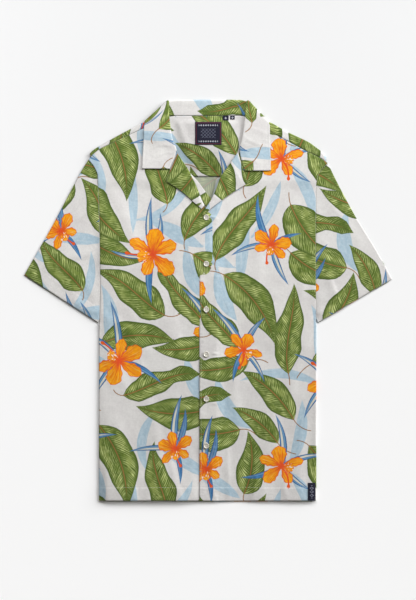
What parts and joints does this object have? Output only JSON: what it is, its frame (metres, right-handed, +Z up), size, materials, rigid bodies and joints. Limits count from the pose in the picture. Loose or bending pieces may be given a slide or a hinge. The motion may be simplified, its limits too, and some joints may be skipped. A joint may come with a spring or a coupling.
{
  "type": "hawaiian shirt",
  "caption": "Short-sleeved camp-collar shirt with a tropical leaf and flower print, buttoned and laid flat, front up.",
  "frame": {"origin": "under the middle of the shirt, on the surface it lies on", "axes": "+X to the wearer's left cuff, +Y to the collar, +Z up out of the front"},
  "size_m": [0.7176, 0.782, 0.0101],
  "materials": {
    "printed_cloth": "fine plain-weave viscose, tropical print, matt with a faint sheen",
    "cloth_reverse": "reverse of the printed cloth, paler and duller",
    "label_cloth": "woven damask label, bare",
    "button_resin": "off-white resin, soft gloss"
  },
  "bodies": {
    "root": {"back_panel": "cloth_reverse", "outer_yoke": "printed_cloth", "inner_yoke": "printed_cloth", "right_front": "printed_cloth", "left_front": "printed_cloth", "right_lapel": "printed_cloth", "left_lapel": "printed_cloth", "collar": "printed_cloth", "right_sleeve": "printed_cloth", "left_sleeve": "printed_cloth", "neck_label": "label_cloth", "size_tab_a": "label_cloth", "size_tab_b": "label_cloth", "hem_label": "label_cloth", "button_1": "button_resin", "button_2": "button_resin", "button_3": "button_resin", "button_4": "button_resin", "button_5": "button_resin", "button_6": "button_resin"}
  },
  "joints": []
}
